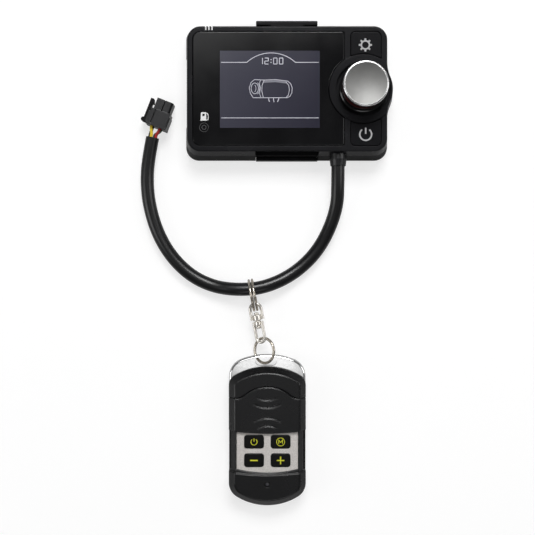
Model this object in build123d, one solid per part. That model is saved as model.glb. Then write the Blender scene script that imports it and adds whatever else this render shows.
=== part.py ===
"""Wired display controller of a diesel air heater, with its pigtail cable and its key-ring remote.

Millimetres. The controller lies face up. X runs to the right and Y up the face. The origin is
the middle of the back face of the wall bracket, so everything lies on the plane z = 0.
"""

from build123d import *
import math
import os

# ---- Controller case ------------------------------------------------------------------------
case_width = 100.0        # at the back
case_height = 66.6        # at the back
side_draft = 1.85         # how far each side leans in, from back to rim
end_draft = 3.25          # the same for the top and bottom walls
case_corner = 6.5
case_back = 0.8           # height of the back face over the wall
split_height = 9.0        # where the covers meet
rim_height = 16.0
wall = 2.0
front_skin = 2.0
back_skin = 1.6           # what is left behind the bracket channel
rim_round = 0.8
back_round = 1.0
bulge_reach = 2.75        # swelling of the right side beside the knob
bulge_half = 13.0
bulge_radius = 14.7
notch_length = 34.6       # finger notch in the left side of the rear cover
notch_depth = 1.9
recess_wall = 1.5         # wall left round the recess for the bracket's lip

# ---- Wall bracket ---------------------------------------------------------------------------
bracket_width = 30.4
bracket_plate = 2.0
bracket_above = 2.4       # how far the tab stands past the top of the case
bracket_tab_height = 5.2
bracket_tab_thick = 2.1
bracket_lip_height = 4.2
bracket_lip_thick = 1.6
bracket_fit = 0.15
bracket_hole_radius = 2.1
bracket_hole_spacing = 40.0
bracket_sink_radius = 3.9
bracket_sink_slope = 0.75 # depth of the countersink over its reach
hook_width = 16.0
hook_depth = 1.4
hook_thick = 1.0
recess_ledge = 0.3        # how far the front cover is cut back over the lip

# ---- Lens and display -----------------------------------------------------------------------
rim_band = 2.55           # flat rim round the lens
lens_thick = 1.3
lens_proud = 0.1
lens_corner = 3.8
lens_inner_corner = 1.0
lens_edge = 0.35
lens_fit = 0.1
lens_to_knob = 9.1        # right edge of the lens to the knob axis
window_left_margin = 12.6 # from the left edge of the lens to the display window
window_right_margin = 11.5
window_end_margin = 9.1
panel_border = 3.2
panel_thick = 2.2
frame_wall = 1.4
slot_width = 0.9          # the three vent slots in the top wall
slot_pitch = 1.5
slot_count = 3
slot_inset = 10.6
slot_depth = 1.85
slot_relief = 0.7         # the rear cover is cut back this much wider behind the slots
led_radius = 1.5
led_inset = 5.6           # from the left edge of the lens
led_rise = 8.9            # above the lower edge of the lens

# ---- Knob and encoder -----------------------------------------------------------------------
knob_inset = 13.4         # knob axis to the right edge of the back
collar_radius = 16.4
collar_proud = 0.6
collar_round = 0.5
well_radius = 13.1
well_wall = 1.8
well_depth = 1.8
well_skin = 1.4
skirt_radius = 11.65
skirt_height = 1.6
skirt_wall = 1.6
foot_chamfer = 0.3
foot_flare = 0.2
nut_room = 1.8            # over the nut, for the press
skirt_gap = 0.8           # under the skirt, for the press
waist_radius = 10.7
ring_radius = 10.5
ring_height = 5.5
core_radius = 8.6
cap_radius = 10.75
cap_thick = 3.1
cap_rim = 0.9
cap_dish = 1.2
cap_round = 0.63
knob_top = 29.1
shaft_radius = 3.0
shaft_flat = 0.6
bush_radius = 3.5
shaft_fit = 0.05
shaft_flat_start = 1.5    # above the bush
shaft_end = 1.0           # below the cap
shaft_flange = 0.8
shaft_flange_thick = 0.6
flange_slack = 0.3
encoder_width = 12.4
encoder_length = 13.2
encoder_height = 5.8
encoder_corner = 0.6
encoder_floor = 0.9
encoder_roof = 2.2
encoder_room = 1.1        # round the shaft
bush_reach = 0.5          # end of the bush over the skirt's underside
nut_across = 10.0
nut_thick = 1.8
press_travel = 0.5
press_slack = 0.2         # under the plunger at full travel

# ---- Keys beside the knob -------------------------------------------------------------------
key_width = 14.6
key_offset = 1.3          # key middle to the right of the knob axis
key_margin = 2.6          # rim edge to key
key_corner = 2.4
key_tip = 0.4
key_gap = 0.25
key_flange = 0.6
key_flange_thick = 0.7
key_proud = 0.1
key_travel = 0.6
key_round = 0.3
key_slack = 0.1           # between the key's stem and its switch at full travel
plunger_radius = 1.6
switch_width = 6.0
switch_height = 3.6
switch_stem = 1.4
switch_corner = 0.4

# ---- Circuit board and fixings --------------------------------------------------------------
board_height = 5.0        # underside
board_thick = 1.6
board_side_gap = 0.8      # to the right wall
board_notch_gap = 1.6     # to the wall behind the finger notch
board_end_gap = 2.9       # to the wall round the lip's recess
post_radius = 3.0
post_foot = 3.9
post_hole = 3.2
post_inset = 7.0          # left posts from the left side
post_ends = 9.9           # posts from the top and bottom sides
post_to_lens = 3.1        # right posts from the right edge of the lens
screw_radius = 1.25
screw_head = 2.3
screw_head_thick = 1.6
screw_length = 11.4
screw_fit = 0.05
screw_sink = 0.4          # heads below the back face
screw_blind = 0.6         # skin left over the screw's hole in the front cover
screw_cross = 2.8
screw_cross_width = 0.5
screw_cross_depth = 0.8

# ---- Cable and plug -------------------------------------------------------------------------
cable_radius = 3.25
cable_shift = 1.725       # exit left of halfway between the bracket's recess and the knob axis
cable_inside = 4.5        # start of the cable inside the bottom side
arc_share = 0.45          # of the shorter run beside each corner
grommet_neck = 4.2
grommet_flange = 4.9
grommet_flange_thick = 1.0
grommet_shoulder = 0.3
grommet_outer = 4.1
grommet_tip = 3.75
grommet_reach = 3.2
header_width = 6.4
header_length = 5.5
header_height = 5.4
header_corner = 0.5
header_to_knob = 5.0      # left of the knob axis, between a fixing post and a switch
wire_radius = 0.75
wire_fit = 0.1
plug_angle = 21.4         # the plug's axis, clockwise from +Y
plug_gap = 5.0            # bare wires between sheath and plug
plug_block = 8.2          # solid rear part
plug_silos = 5.6          # separate front towers
plug_width = 9.6
plug_pitch = 4.3
silo_width = 3.9
silo_bore = 2.6
silo_chamfer = 0.9
plug_lip = 0.5
plug_lip_thick = 1.0
plug_step = 0.5
plug_step_inset = 0.8     # the side step and the latch's ribs below the outer faces
plug_step_end = 1.6       # short of the block's front face
plug_back = 2.4           # wall round the wires behind the terminals
plug_groove = 0.65        # groove along the top and the bottom face
plug_groove_depth = 0.7
plug_groove_inset = 1.75  # from the latch side
wire_twist = 25.0         # turn of the four wires where they leave the sheath
wire_ring = 1.7           # reach of their centres from the middle of the sheath
latch_length = 12.2
latch_thick = 1.5
latch_width = 4.2
latch_gap = 0.6
latch_start = 0.6         # before the plug's back face
latch_nub = 1.1           # radius of the round thumb nub
latch_hook = 0.9
latch_hook_length = 2.4
latch_pivot = 5.3         # middle of the web from the plug's back face
latch_web = 1.4
latch_web_gap = 0.2
latch_rib_gap = 0.3       # between the lever and the ribs above and below it
terminal_width = 2.2
terminal_length = 8.0
terminal_wall = 0.4
terminal_inset = 1.0      # below the towers' mouths
terminal_crimp = 2.0      # solid rear end on the wire

# ---- Split ring and swivel clasp ------------------------------------------------------------
chain_angle = 10.2        # the chain's direction, from -Y towards +X
split_ring_x = -16.6
split_ring_drop = 66.3    # middle of the ring below the bottom side of the case
split_ring_radius = 7.5   # middle of the wire
split_wire = 0.575
split_pitch = 1.6
split_lift = 0.05         # of the ring over the wall
split_cross = 24.0        # half the arc over which the wire changes side
split_end_gap = 5.0
split_cross_at = -70.0
loop_wire = 0.75
upper_loop_half = 2.7
upper_loop_top = 4.35     # along the chain, from the middle of the split ring
yoke_start = 9.9
upper_yoke_length = 2.7
upper_yoke_radius = 2.05
yoke_gap = 0.3
yoke_round = 0.3
lower_yoke_length = 2.3
lower_yoke_radius = 1.75
lower_loop_half = 2.45
lower_loop_bottom = 23.5
lower_loop_roll = -34.0
rivet_radius = 0.75
rivet_fit = 0.08
rivet_head = 1.15
rivet_head_thick = 1.2
rivet_tail = 1.2
rivet_tail_thick = 1.2
rivet_round = 0.4
jump_radius = 6.1
jump_wire = 0.7
jump_tilt = 40.0
link_gap = 0.4            # slack between links
jump_shift = -1.5         # middle of the jump ring beside the remote's middle

# ---- Key-ring remote ------------------------------------------------------------------------
fob_shift = 7.0           # middle of the remote to the right of the split ring's
fob_drop = 34.8           # top of the plastic body below the split ring's middle
fob_width = 37.5
fob_thick = 14.0
fob_length = 67.5
fob_top_radius = 31.6
fob_top_corner = 5.0
fob_bottom_radius = 28.5
fob_bottom_corner = 8.0
fob_split = 6.0
bevel_width = 3.0
bevel_height = 3.2
fob_round = 1.0
fob_back_round = 1.6
fob_wall = 3.3
cavity_start = 10.8       # cavity below the top of the body
cover_skin = 1.1          # slide cover
cover_fit = 0.2
wave_gap = 0.45           # open line between the head and the closed cover
cover_travel = 20.0
cover_length = 30.3       # lower edge of the closed cover below the top, at its sides
cover_edge_drop = 1.8
wave_drop = 14.8          # line between head and slide cover below the top, at its sides
wave_height = 5.7
wave_half = 15.5
wave_radius = 17.0
rail_lip = 0.7
rail_lip_height = 0.8
rail_floor = 6.5
grip_radii = (9.3, 13.0)
grip_width = 0.6
grip_depth = 0.35
grip_apart = 31.0         # between the centres of the two sets of arcs
grip_drop = 22.0
grip_half = 6.2
plate_width = 29.8
plate_thick = 0.5
plate_recess = 1.0        # depth of its pocket
plate_reach = 3.0         # hidden under the closed cover
plate_margin = 1.0
pad_width = 9.4
pad_height = 6.5
pad_corner = 1.3
pad_pitch_x = 12.9
pad_pitch_y = 9.0
pad_drop = 40.8           # middle of the four keys below the top
pad_proud = 0.4
pad_fit = 0.15
pad_flange = 0.8
pad_flange_thick = 0.6
pad_travel = 0.4
pad_round = 0.35
pad_slack = 0.05          # over the dome at full travel
dome_radius = 2.2
dome_height = 1.0
dome_crown = 1.2
nub_radius = 1.3
fob_board_height = 7.0
fob_board_thick = 1.0
fob_board_drop = 12.6
fob_board_length = 47.5
fob_board_margin = 4.0
fob_post_radius = 1.4     # four posts under the board
fob_post_side = 11.5      # from the middle
fob_post_high = 3.0       # from the board's upper end
fob_post_low = 8.0        # from its lower end
fob_led_drop = 56.8
fob_led_radius = 1.1
fob_led_fit = 0.1
fob_led_sunk = 0.8        # below the front face
battery_radius = 10.0
battery_thick = 3.1
battery_drop = 28.6
clip_thick = 0.3
clip_width = 6.0
clip_gap = 0.9            # between the cell and the clip's legs
bail_rise = 5.8           # how far the bail stands past the top
bail_radius = 36.0
bail_corner = 9.0
bail_length = 15.4
bail_thick = 4.2
bail_hole_width = 10.6
bail_hole_height = 4.6
bail_bar = 1.0
bail_hole_shift = -0.6
bail_round = 1.2
fob_screw_x = 12.3
fob_screw_drop = 5.8
fob_screw_end = 4.7       # low screw from the bottom
fob_boss = 2.0
fob_screw_radius = 0.8
fob_screw_head = 1.5
fob_screw_head_thick = 1.0
fob_screw_fit = 0.2
fob_screw_sink = 0.3
fob_screw_end_gap = 0.5   # between the screw's tip and the end of its hole
fob_screw_cross = 2.0
fob_screw_cross_width = 0.35
fob_screw_cross_depth = 0.5

# ---- Derived places -------------------------------------------------------------------------
skin_under = rim_height - front_skin
lens_seat = rim_height + lens_proud - lens_thick
floor_top = bracket_plate + back_skin
board_top = board_height + board_thick
knob_x = case_width / 2 - knob_inset
lens_left = -(case_width / 2 - side_draft - rim_band)
lens_right = knob_x - lens_to_knob
lens_half = case_height / 2 - end_draft - rim_band
led_x = lens_left + led_inset
led_y = -lens_half + led_rise
window_left = lens_left + window_left_margin
window_width = lens_right - window_right_margin - window_left
window_height = 2 * (lens_half - window_end_margin)
window_x = window_left + window_width / 2
recess_y = -(case_height / 2 - end_draft - recess_ledge)
lip_y = -case_height / 2 + bracket_lip_thick
tab_y = case_height / 2 + bracket_above
well_floor = rim_height - well_depth
skirt_base = well_floor + skirt_gap
waist_height = knob_top - cap_thick - ring_height
bush_top = skirt_base + bush_reach
key_x = knob_x + key_offset
key_top_y = case_height / 2 - end_draft - key_margin
recess_side = bracket_width / 2 + bracket_fit + recess_wall
cable_x = (recess_side + knob_x) / 2 - cable_shift
case_low = -case_height / 2
board_left = -case_width / 2 + notch_depth + wall + board_notch_gap
board_right = case_width / 2 - (board_top - case_back) / (rim_height - case_back) * side_draft
board_right -= wall + board_side_gap
board_half = case_height / 2 - notch_depth - recess_wall - board_end_gap
fob_x = split_ring_x + fob_shift
jump_x = fob_x + jump_shift
fob_top = case_low - split_ring_drop - fob_drop
fob_bottom = fob_top - fob_length
cover_edge = fob_top - cover_length
wave_side = fob_top - wave_drop
bevel_angle = math.degrees(math.atan(bevel_width / bevel_height))
cover_top = fob_thick - cover_skin - cover_fit
plate_top = cover_top - plate_recess + plate_thick
track_end = cover_edge - cover_travel - cover_fit
split_ring_z = split_ring_radius + split_wire + split_lift
split_ring_at = (split_ring_x, case_low - split_ring_drop, split_ring_z)
post_places = [(side, end * (case_height / 2 - post_ends))
               for side in (-case_width / 2 + post_inset, lens_right - post_to_lens)
               for end in (1, -1)]
# Control points of the free cable, by hand from the way it lies: down from the case, over the
# floor, up in a low hump through the split ring, and up beside the case to the plug.
cable_route = [
    (cable_x, case_low + cable_inside, split_height),
    (cable_x, case_low - 9.9, split_height),
    (cable_x - 0.3, case_low - 24.7, 6.2),
    (cable_x - 8.1, case_low - 43.0, 3.7),
    (cable_x - 20.4, case_low - 55.5, 3.5),
    (-10.4, case_low - 62.65, 7.0),
    (-23.8, case_low - 63.85, 7.0),
    (-36.2, case_low - 62.3, 3.5),
    (-47.2, case_low - 57.1, 3.3),
    (-56.9, case_low - 47.9, 3.3),
    (-64.0, case_low - 35.9, 3.3),
    (-68.2, case_low - 21.7, 3.3),
    (-69.3, case_low - 9.2, 3.5),
    (-68.2, case_low + 1.8, 4.2),
    (-66.2, case_low + 11.4, 4.9),
]

# ---- Small helpers --------------------------------------------------------------------------
def block(x0, x1, y0, y1, z0, z1):
    """A box between two corners."""
    return Pos((x0 + x1) / 2, (y0 + y1) / 2, (z0 + z1) / 2) * Box(x1 - x0, y1 - y0, z1 - z0)


def rod(radius, z0, z1, x=0.0, y=0.0):
    """An upright cylinder."""
    return Pos(x, y, (z0 + z1) / 2) * Cylinder(radius, z1 - z0)


def turned(profile, x=0.0, y=0.0):
    """A turned solid about an upright axis from (radius, height) points."""
    line = Polyline([(r, 0, z) for r, z in profile], close=True)
    return Pos(x, y) * revolve(make_face(line), Axis.Z)


def prism(face, z0, z1):
    """A flat face extruded between two heights."""
    return extrude(Pos(0, 0, z0) * face, z1 - z0, dir=(0, 0, 1))


def round_rect(width, height, corner, x=0.0, y=0.0):
    return Pos(x, y) * RectangleRounded(width, height, corner)


# ---- Case form ------------------------------------------------------------------------------
def case_half(z):
    """Half width and half height of the case at height z."""
    share = (z - case_back) / (rim_height - case_back)
    return case_width / 2 - share * side_draft, case_height / 2 - share * end_draft


def case_outline(z, inset=0.0):
    """Rounded rectangle with a smooth swelling on its right side."""
    wide, high = case_half(z)
    reach = (bulge_reach ** 2 + bulge_half ** 2) / (2 * bulge_reach)
    hollow = reach - bulge_radius
    turn = math.degrees(math.atan2(bulge_half, reach - bulge_reach))
    x, y, r = wide - inset, high - inset, case_corner - inset
    edges = [
        Line((x, -y + r), (x, -bulge_half)),
        CenterArc((wide + hollow, -bulge_half), hollow + inset, 180, -turn),
        CenterArc((wide + bulge_reach - bulge_radius, 0), bulge_radius - inset, -turn, 2 * turn),
        CenterArc((wide + hollow, bulge_half), hollow + inset, 180 + turn, -turn),
        Line((x, bulge_half), (x, y - r)),
        CenterArc((x - r, y - r), r, 0, 90),
        Line((x - r, y), (-x + r, y)),
        CenterArc((-x + r, y - r), r, 90, 90),
        Line((-x, y - r), (-x, -y + r)),
        CenterArc((-x + r, -y + r), r, 180, 90),
        Line((-x + r, -y), (x - r, -y)),
        CenterArc((x - r, -y + r), r, 270, 90),
    ]
    return Pos(0, 0, z) * make_face(edges)


def case_block(z0, z1, inset=0.0):
    """Slice of the drafted case."""
    return loft([case_outline(z0, inset), case_outline(z1, inset)], ruled=True)


def lip_recess(y, z0, z1, grow=0.0):
    """Space in the bottom wall over the bracket's lip."""
    half = bracket_width / 2 + bracket_fit + grow
    return block(-half, half, -case_height, y + grow, z0, z1)


def vent_slot(x, width):
    """A slot down the top wall, leaning with it, from x over a width."""
    top = case_height / 2 - end_draft
    side = [(top - slot_depth, 2 * rim_height), (top - slot_depth, skin_under),
            (top - slot_depth + end_draft, 0), (case_height, 0), (case_height, 2 * rim_height)]
    face = make_face(Polyline([(x, y, z) for y, z in side], close=True))
    return extrude(face, width, dir=(1, 0, 0))


def vent_left():
    return -case_width / 2 + slot_inset - slot_width / 2


def cable_hole():
    """Round hole through the bottom wall, half in each cover."""
    reach = end_draft + 2 * wall
    return Pos(cable_x, case_low, split_height) * Rot(90, 0, 0) * Cylinder(grommet_neck, 2 * reach)


def lens_outline(grow=0.0):
    """The lens face: rounded at the left, cut by the knob collar at the right."""
    left, right, half = lens_left - grow, lens_right + grow, lens_half + grow
    face = Pos((left + right) / 2, 0) * Rectangle(right - left, 2 * half)
    corners = face.vertices().sort_by(Axis.X)
    face = fillet(corners[:2], lens_corner + grow)
    corners = face.vertices().group_by(Axis.X)[-1]
    face = fillet(corners, lens_inner_corner + grow)
    return face - Pos(knob_x, 0) * Circle(collar_radius + lens_fit - grow)


def key_outline(side, grow=0.0):
    """A key with an arc towards the knob. side is 1 above it and -1 below."""
    inner = collar_radius + 2 * key_gap - grow
    top = key_top_y + grow
    face = Pos(key_x, top / 2) * Rectangle(key_width + 2 * grow, top)
    face = face - Pos(knob_x, 0) * Circle(inner)
    face = face.faces().sort_by(Axis.Y)[-1]
    far = face.vertices().group_by(Axis.Y)[-1]
    face = fillet(far, key_corner + grow)
    near = [v for v in face.vertices() if v.Y < inner]
    face = fillet(near, key_tip)
    return face if side > 0 else Rot(180, 0, 0) * face


# ---- Controller pieces ----------------------------------------------------------------------
def make_front_cover():
    shell = case_block(split_height, rim_height)
    shell = fillet(shell.edges().group_by(Axis.Z)[-1], rim_round)
    hollow = case_block(split_height, skin_under, wall)
    hollow -= lip_recess(recess_y, 0, 2 * rim_height, recess_wall)
    shell -= hollow
    shell -= lip_recess(recess_y, 0, 2 * rim_height)
    collar = turned([(0, well_floor - well_skin), (well_radius + well_wall, well_floor - well_skin),
                     (well_radius + well_wall, skin_under), (collar_radius, skin_under),
                     (collar_radius, rim_height + collar_proud), (0, rim_height + collar_proud)],
                    knob_x)
    shell += collar & prism(case_outline(0, side_draft + rim_round / 2), 0, 2 * rim_height)
    shell -= rod(well_radius, well_floor, 2 * rim_height, knob_x)
    shell -= rod(bush_radius + bracket_fit, 0, 2 * rim_height, knob_x)
    shell -= prism(lens_outline(lens_fit), lens_seat, 2 * rim_height)
    shell -= block(window_left, window_left + window_width, -window_height / 2,
                   window_height / 2, 0, 2 * rim_height)
    shell -= rod(led_radius + bracket_fit, 0, 2 * rim_height, led_x, led_y)
    for side in (1, -1):
        shell -= prism(key_outline(side, key_gap), 0, 2 * rim_height)
    for x, y in post_places:
        shell += rod(post_radius, split_height, skin_under, x, y)
        shell -= rod(screw_radius + screw_fit, 0, skin_under - screw_blind, x, y)
    for step in range(slot_count):
        shell -= vent_slot(vent_left() + step * slot_pitch, slot_width)
    return shell - cable_hole()


def make_rear_cover():
    shell = case_block(case_back, split_height)
    shell = fillet(shell.edges().group_by(Axis.Z)[0], back_round)
    left = -case_width / 2 + notch_depth
    notch = block(-case_width, left, -notch_length / 2, notch_length / 2, -1, 2 * rim_height)
    thick_notch = block(-case_width, left + wall, -notch_length / 2 - wall,
                        notch_length / 2 + wall, -1, 2 * rim_height)
    low_recess = -(case_height / 2 - notch_depth)
    hollow = case_block(floor_top, split_height, wall)
    hollow -= thick_notch
    hollow -= lip_recess(low_recess, -1, split_height, recess_wall)
    shell -= hollow
    shell -= notch
    shell -= lip_recess(low_recess, -1, 2 * split_height)
    channel = bracket_width / 2 + bracket_fit
    shell -= block(-channel, channel, -case_height, case_height, -1, bracket_plate)
    catch = hook_width / 2 + bracket_fit
    shell -= block(-catch, catch, tab_y - bracket_tab_thick - hook_depth - bracket_fit, case_height,
                   bracket_tab_height - hook_thick - bracket_fit, bracket_tab_height + bracket_fit)
    for x, y in post_places:
        shell += rod(post_foot, floor_top, board_height, x, y) & case_block(floor_top, split_height)
        shell += rod(post_radius, floor_top, split_height, x, y)
        shell -= rod(screw_radius + bracket_fit, 0, split_height, x, y)
        shell -= rod(screw_head + bracket_fit, 0, case_back + screw_head_thick + screw_sink, x, y)
    vent_width = (slot_count - 1) * slot_pitch + slot_width
    shell -= vent_slot(vent_left() - slot_relief, vent_width + 2 * slot_relief)
    return shell - cable_hole()


def make_wall_bracket():
    half = bracket_width / 2
    low, high = -case_height / 2, tab_y
    plate = block(-half, half, low, high, 0, bracket_plate)
    plate += block(-half, half, low, lip_y, 0, bracket_lip_height)
    plate += block(-half, half, high - bracket_tab_thick, high, 0, bracket_tab_height)
    top = plate.edges().filter_by(Axis.X).group_by(Axis.Y)[-1].sort_by(Axis.Z)[-1]
    plate = fillet([top, *plate.edges().filter_by(Axis.Z).group_by(Axis.Y)[-1]], rim_round)
    plate += block(-hook_width / 2, hook_width / 2, high - bracket_tab_thick - hook_depth,
                   high - bracket_tab_thick, bracket_tab_height - hook_thick, bracket_tab_height)
    for end in (1, -1):
        y = end * bracket_hole_spacing / 2
        plate -= rod(bracket_hole_radius, -1, bracket_plate + 1, 0, y)
        sink = (bracket_sink_radius - bracket_hole_radius) * bracket_sink_slope
        plate -= turned([(0, bracket_plate), (bracket_sink_radius, bracket_plate),
                         (bracket_hole_radius, bracket_plate - sink), (0, bracket_plate - sink)],
                        0, y)
    return plate


def make_display_lens():
    lens = prism(lens_outline(), lens_seat, rim_height + lens_proud)
    return chamfer(lens.edges().group_by(Axis.Z)[-1], lens_edge)


def panel_size():
    return window_width + 2 * panel_border, window_height + 2 * panel_border


def make_lcd_panel():
    wide, high = panel_size()
    return prism(Pos(window_x, 0) * Rectangle(wide, high), skin_under - panel_thick, skin_under)


def make_lcd_frame():
    """Open carrier that holds the panel up against the front cover."""
    wide, high = panel_size()
    outer = Pos(window_x, 0) * Rectangle(wide + 2 * frame_wall, high + 2 * frame_wall)
    inner = Pos(window_x, 0) * Rectangle(wide - 2 * frame_wall, high - 2 * frame_wall)
    pocket = Pos(window_x, 0) * Rectangle(wide, high)
    frame = prism(outer, board_top, skin_under) - prism(inner, board_top, skin_under)
    return frame - prism(pocket, skin_under - panel_thick, skin_under)


def make_main_pcb():
    board = block(board_left, board_right, -board_half, board_half, board_height, board_top)
    for x, y in post_places:
        board -= rod(post_hole, 0, rim_height, x, y)
    return board


def make_status_led():
    body = rod(led_radius, board_top, lens_seat - led_radius, led_x, led_y)
    return body + Pos(led_x, led_y, lens_seat - led_radius) * Sphere(led_radius)


def make_case_screws():
    """Four screws from the back, each a head with a cross recess and a plain shank."""
    screws = []
    for x, y in post_places:
        base = case_back + screw_sink
        screw = rod(screw_head, base, base + screw_head_thick, x, y)
        screw += rod(screw_radius, base, base + screw_length, x, y)
        for turn in (0, 90):
            cross = Box(screw_cross, screw_cross_width, 2 * screw_cross_depth)
            screw -= Pos(x, y, base) * Rot(0, 0, turn) * cross
        screws.append(screw)
    return Compound(screws)


# ---- Keys -----------------------------------------------------------------------------------
def make_key(side):
    """A key cap with a hidden flange and the stem that reaches its switch."""
    flange_top = skin_under - key_gap
    flange_base = flange_top - key_flange_thick
    cap = prism(key_outline(side), flange_top, rim_height + key_proud)
    cap = fillet(cap.edges().group_by(Axis.Z)[-1], key_round)
    cap += prism(key_outline(side, key_flange), flange_base, flange_top)
    stem_base = board_top + switch_height + switch_stem + key_travel + key_slack
    y = side * (key_top_y + collar_radius) / 2
    return cap + rod(plunger_radius, stem_base, flange_base, key_x, y)


def make_tact_switches():
    half = switch_width / 2
    y = (key_top_y + collar_radius) / 2
    top = board_top + switch_height
    switches = []
    for side in (1, -1):
        switch = block(key_x - half, key_x + half, side * y - half, side * y + half, board_top, top)
        switch = chamfer(switch.edges().filter_by(Axis.Z), switch_corner)
        switches.append(switch + rod(plunger_radius, top, top + switch_stem, key_x, side * y))
    return Compound(switches)


# ---- Knob -----------------------------------------------------------------------------------
def make_encoder_body():
    wide, long = encoder_width / 2, encoder_length / 2
    top = board_top + encoder_height
    body = block(knob_x - wide, knob_x + wide, -long, long, board_top, top)
    body = chamfer(body.edges().filter_by(Axis.Z), encoder_corner)
    body += rod(bush_radius, top, bush_top, knob_x)
    floor = board_top + encoder_floor
    body -= rod(shaft_radius + encoder_room, floor, top - encoder_roof, knob_x)
    return body - rod(shaft_radius + shaft_fit, floor, bush_top, knob_x)


def encoder_levels():
    """Bottom of the plunger, top of the plunger and top of the shaft's flange."""
    base = board_top + encoder_floor + press_travel + press_slack
    flange = board_top + encoder_height - encoder_roof - flange_slack
    return base, flange - shaft_flange_thick, flange


def make_encoder_plunger():
    base, top, _ = encoder_levels()
    return rod(shaft_radius + shaft_flange - flange_slack, base, top, knob_x)


def shaft_flat_space():
    """What the flat takes off the shaft's upper end."""
    cut = knob_x + shaft_radius - shaft_flat
    return block(cut, cut + shaft_radius, -shaft_radius, shaft_radius, bush_top + shaft_flat_start,
                 knob_top)


def make_encoder_shaft():
    _, base, flange = encoder_levels()
    top = knob_top - cap_thick - shaft_end
    shaft = rod(shaft_radius + shaft_flange, base, flange, knob_x)
    shaft += rod(shaft_radius, base, top, knob_x)
    return shaft - shaft_flat_space()


def make_encoder_nut():
    hexagon = RegularPolygon(nut_across / 2, 6, major_radius=False)
    nut = prism(Pos(knob_x, 0) * hexagon, well_floor, well_floor + nut_thick)
    return nut - rod(bush_radius + shaft_fit, 0, 2 * rim_height, knob_x)


def make_knob_skirt():
    """Black knob body: foot, waist and core, hollow over the nut."""
    core_top = knob_top - cap_thick
    foot_top = skirt_base + skirt_height
    body = turned([(0, skirt_base), (skirt_radius, skirt_base), (skirt_radius, foot_top),
                   (skirt_radius - foot_chamfer, foot_top + foot_chamfer),
                   (waist_radius + foot_flare, foot_top + 2 * foot_chamfer),
                   (waist_radius, waist_height), (core_radius, waist_height),
                   (core_radius, core_top), (0, core_top)], knob_x)
    body -= rod(skirt_radius - skirt_wall, 0, well_floor + nut_thick + nut_room, knob_x)
    return body - (rod(shaft_radius, 0, core_top - shaft_end, knob_x) - shaft_flat_space())


def make_knob_light_ring():
    base, top = waist_height, knob_top - cap_thick
    ring = turned([(core_radius, base), (ring_radius, base), (ring_radius, top),
                   (core_radius, top)], knob_x)
    return ring


def make_knob_cap():
    """Metal cap with a rounded rim and a dished face."""
    rim = cap_radius - cap_rim
    cap = rod(cap_radius, knob_top - cap_thick, knob_top, knob_x)
    cap = fillet(cap.edges().group_by(Axis.Z)[-1], cap_round)
    dish = (rim ** 2 + cap_dish ** 2) / (2 * cap_dish)
    return cap - Pos(knob_x, 0, knob_top - cap_dish + dish) * Sphere(dish)


# ---- Cable ----------------------------------------------------------------------------------
def route_radii(route):
    """As large an arc at each corner as its two runs allow."""
    points = [Vector(*p) for p in route]
    radii = []
    for before, here, after in zip(points, points[1:], points[2:]):
        run = min((here - before).length, (after - here).length)
        half_turn = math.radians((here - before).get_angle(after - here)) / 2
        radii.append(arc_share * run / math.tan(half_turn))
    return radii


def tube(path, radius):
    """A round bar swept along a wire."""
    start = Plane(origin=path @ 0, z_dir=path % 0)
    return sweep(start * Circle(radius), path=path)


def make_cable_sheath():
    radii = route_radii(cable_route)
    path = FilletPolyline(*cable_route, radius=radii)
    sheath = tube(path, cable_radius)
    section = math.pi * cable_radius ** 2
    print("cable radii", [round(r, 1) for r in radii])
    print("cable length", round(path.length, 1), "volume share",
          round(sheath.volume / (section * path.length), 4))
    return sheath


def make_cable_grommet():
    """Rubber bush turned about the cable: inner flange, neck and short outer sleeve."""
    inside = case_half(skin_under)[1] - wall
    outside = case_height / 2
    head = inside - grommet_flange_thick
    profile = [(cable_radius, head), (grommet_flange, head), (grommet_flange, inside),
               (grommet_neck, inside), (grommet_neck, outside),
               (grommet_outer, outside + grommet_shoulder),
               (grommet_tip, outside + grommet_reach), (cable_radius, outside + grommet_reach)]
    body = turned(profile)
    return Pos(cable_x, 0, split_height) * Rot(90, 0, 0) * body


def make_cable_header():
    """Socket block on the board where the cable ends."""
    half, x, y = header_width / 2, knob_x - header_to_knob, -board_half
    body = block(x - half, x + half, y, y + header_length, board_top, board_top + header_height)
    return chamfer(body.edges().filter_by(Axis.Z), header_corner)


def plug_place():
    """Frame of the plug: Y along its axis to the mating end, from the end of the sheath."""
    end = Vector(*cable_route[-1])
    turn = Rot(0, 0, -plug_angle)
    return Pos(end.X, end.Y, end.Z) * turn


def wire_centres():
    """The four circuits, as (x, z) signs."""
    return [(-1, 1), (1, 1), (-1, -1), (1, -1)]


def make_wire(across, up):
    """One bare conductor's insulation, from the sheath's end into the plug."""
    end = Vector(*cable_route[-1])
    before = Vector(*cable_route[-2])
    along = (end - before).normalized()
    side = along.cross(Vector(0, 0, 1)).normalized()
    turn = math.atan2(up, across) - math.radians(wire_twist)
    start = end + side * (wire_ring * math.cos(turn)) + side.cross(along) * (wire_ring * math.sin(turn))
    mouth = plug_place() * Pos(across * plug_pitch / 2, plug_gap - wire_radius, up * plug_pitch / 2)
    hole = plug_place() * Pos(across * plug_pitch / 2, plug_gap + plug_lip_thick, up * plug_pitch / 2)
    bend = start + along * 2 * wire_radius
    route = [tuple(start), tuple(bend), tuple(mouth.position), tuple(hole.position)]
    return tube(FilletPolyline(*route, radius=route_radii(route)), wire_radius)


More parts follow.
